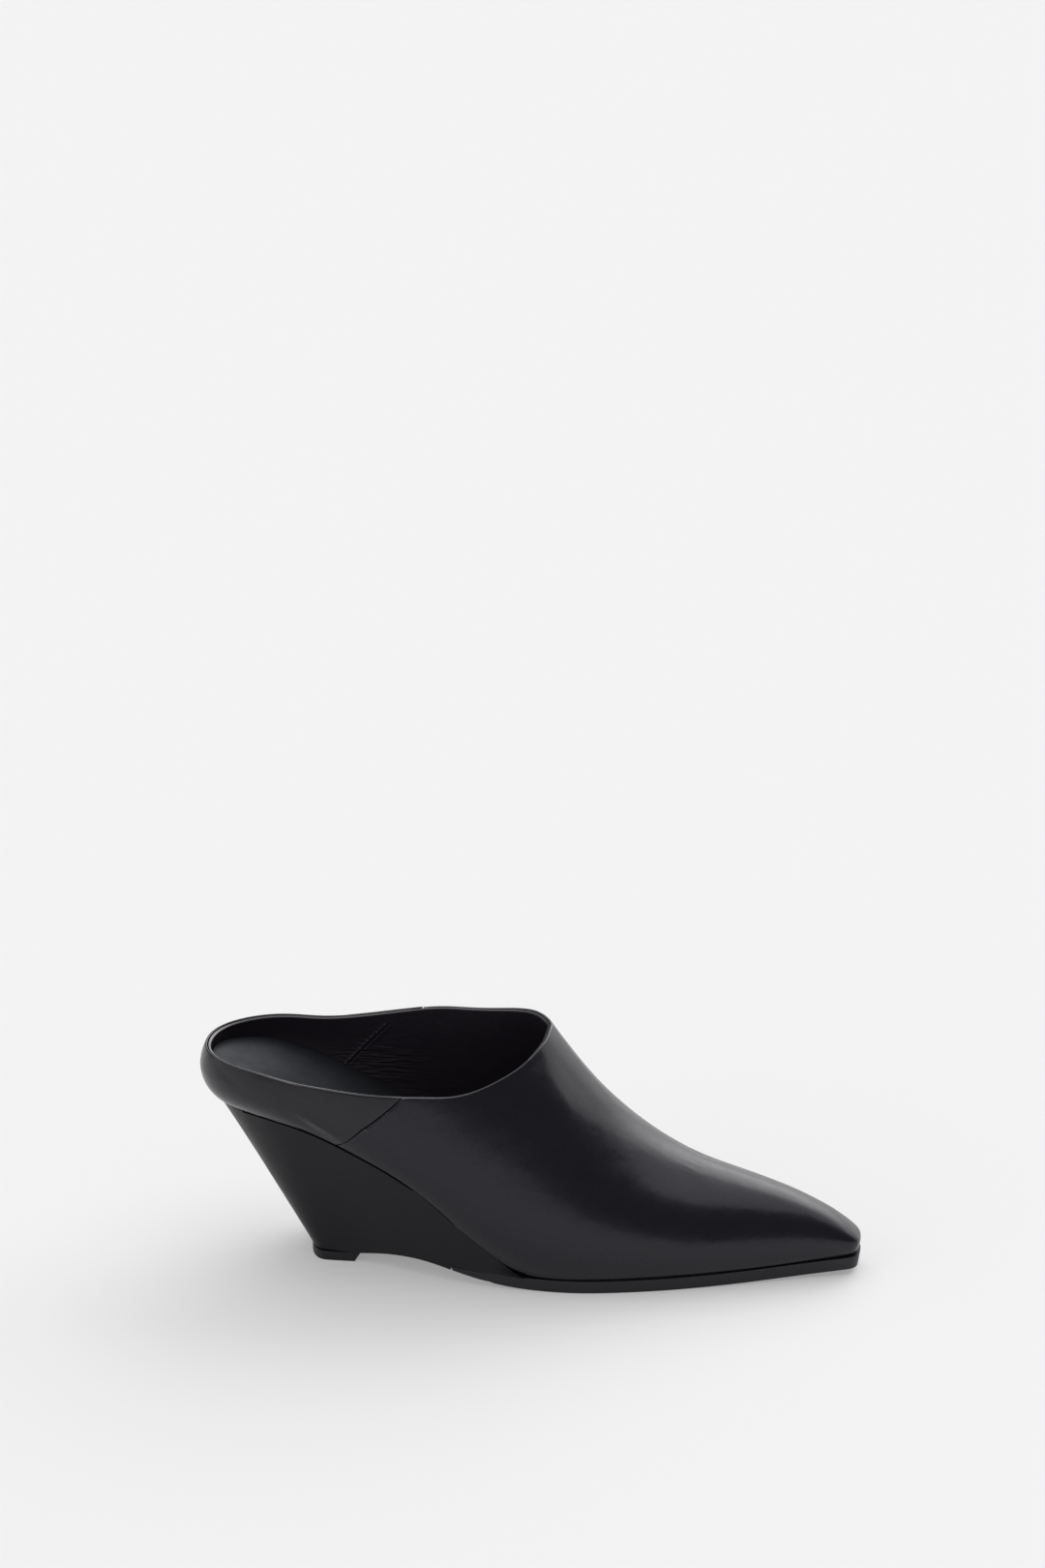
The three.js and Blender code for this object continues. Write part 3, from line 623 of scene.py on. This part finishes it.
wedge = copy_solid("wedge", "wedge_cover", (wedge_calf, painted_seam_shade))
front = max(corner.co.x for corner in wedge.data.vertices)
select_faces(wedge, lambda face: face.normal.x > 0.9 and face.center.x > front - 1 * MM)
bpy.ops.mesh.extrude_region_move(TRANSFORM_OT_translate={"value": (TIP_REACH, 0, -TIP_DROP)})
bpy.ops.object.mode_set(mode="OBJECT")
tip = [corner for corner in wedge.data.vertices if corner.co.x > front + 1 * MM]
sole_top = min(corner.co.z for corner in tip)
for corner in tip:
    corner.co.z = sole_top + TIP_SHARE * (corner.co.z - sole_top)


def cover_top(edge):
    """The cover's top edge along both sides, where it runs in under the upper."""
    on_top = any(face.normal.z > 0.8 for face in edge.link_faces)
    return on_top and all(SEAM_BACK < corner.co.x < WEDGE_FRONT for corner in edge.verts)


# The bevel's new faces take slot 1, the painted seam shade.
bevel_edges(wedge, SEAM_WIDTH, degrees=40, segments=1, where=cover_top, slot=1)
crease_edges(wedge, 1.0)
smooth(wedge, 2)

# %% Outsole and top lift
BEHIND_BALL = -14 * MM  # behind this the sole is too thin to bevel
FOOT_MIDDLE, FOOT_WIDER = 0.5 * MM, 1.04


def full_sole(edge):
    """An edge where the sole has its whole thickness."""
    return all(corner.co.x > BEHIND_BALL for corner in edge.verts)


outsole = copy_solid("outsole", "forefoot_sole", (sole_sheet,))
rear = min(corner.co.x for corner in outsole.data.vertices)
for corner in outsole.data.vertices:
    if corner.normal.z > 0.4:
        corner.co.z += 0.19 * MM
    if corner.co.x < rear + 0.2 * MM:
        corner.co.x -= 0.55 * MM
        corner.co.z += 0.06 * MM if corner.normal.z > 0 else 0.22 * MM
bevel_edges(outsole, 0.22 * MM, degrees=40, where=full_sole)
crease_edges(outsole, 1.0)
smooth(outsole, 2)
lift = copy_solid("top_lift", "walking_lift", (lift_sheet,))
for corner in lift.data.vertices:
    corner.co.y = FOOT_MIDDLE + FOOT_WIDER * (corner.co.y - FOOT_MIDDLE)
    if corner.normal.z > 0.2:
        corner.co.z += 0.22 * MM
crease_edges(lift, 1.0)
smooth(lift, 2)

# %% [markdown]
# ## Which piece stands for which solid
# Every piece rides on the shoe's one body and takes the place of its bare solid.

# %% Hand the pieces over
for piece, node, slot_name in (
        (upper, "upper", "vamp_leather"), (strip, "heel_quarter", "quarter_leather"),
        (footbed, "insole", "footbed_leather"), (wedge, "wedge", "wedge_cover_leather"),
        (outsole, "outsole", "outsole_rubber"), (lift, "top_lift", "lift_rubber")):
    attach(piece, "root")
    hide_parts(node)
    print(piece.name, "stands for", node)

# %% [markdown]
# ## Floor, light and camera
# The picture is a plain studio shot: a white floor without an end under large soft lights. Each light is a
# wide patch of the sky, as a big softbox is when seen from the shoe: one overhead, a smaller one half-way up
# on the shoe's inner side, one low behind its toe, and a weaker one at the heel. The camera's side stays dark,
# which keeps the outer side of the vamp black. The floor glows a little, so that the shadows on it stay light.
# The camera looks down at the shoe from about twenty degrees, with a long lens.

# %% Floor
PAPER = 0.62
GLOW = 0.285
bpy.ops.object.select_all(action="DESELECT")
bpy.ops.mesh.primitive_plane_add(size=30, location=(0, 6, 0))
floor = bpy.context.object
floor.name = "floor"
paper = bpy.data.materials.new("floor_paper")
paper.use_nodes = True
sheet = paper.node_tree.nodes["Principled BSDF"]
sheet.inputs["Base Color"].default_value = (PAPER, PAPER, PAPER, 1)
sheet.inputs["Roughness"].default_value = 0.9
sheet.inputs["Specular IOR Level"].default_value = 0.0
sheet.inputs["Emission Color"].default_value = (1, 1, 1, 1)
sheet.inputs["Emission Strength"].default_value = GLOW
floor.data.materials.append(paper)

# %% Light
SKY = 0.205
world = bpy.data.worlds.new("studio")
bpy.context.scene.world = world
world.use_nodes = True
dome = world.node_tree.nodes["Background"]
dome.inputs["Color"].default_value = (1, 1, 1, 1)
dome.inputs["Strength"].default_value = SKY


def sky_light(name, from_direction, degrees, strength):
    """A sun as wide as this angle, which lights like a round patch of the sky."""
    light = bpy.data.lights.new(name, "SUN")
    light.angle = math.radians(degrees)
    light.energy = strength
    lamp = bpy.data.objects.new(name, light)
    bpy.context.scene.collection.objects.link(lamp)
    lamp.rotation_euler = Vector(from_direction).to_track_quat("Z", "Y").to_euler()


sky_light("overhead", (0.10, 0.39, 0.91), 88, 1.68)
sky_light("window", (0.28, 0.76, 0.59), 42, 0.45)
sky_light("behind", (0.49, 0.85, 0.21), 80, 1.5)
sky_light("heel_side", (-1.0, -0.45, 0.35), 70, 0.7)
print("lights:", [item.name for item in bpy.data.lights])

# %% Camera
LOOKS_DOWN, LOOKS_LEFT = 19.6, 7.0  # degrees
FRAME_HEIGHT, FOCAL_LENGTH = 1620, 4000  # in pixels of the frame

camera = bpy.data.objects.new("camera", bpy.data.cameras.new("camera"))
bpy.context.scene.collection.objects.link(camera)
camera.location = (0.171376, -1.420564, 0.712349)
camera.rotation_euler = (math.radians(90 - LOOKS_DOWN), 0, math.radians(LOOKS_LEFT))
camera.data.lens = 36 * FOCAL_LENGTH / FRAME_HEIGHT
camera.data.clip_end = 100
bpy.context.scene.camera = camera
bpy.context.scene.view_settings.view_transform = "Standard"
print("camera:", camera.location, round(camera.data.lens, 1), "mm")
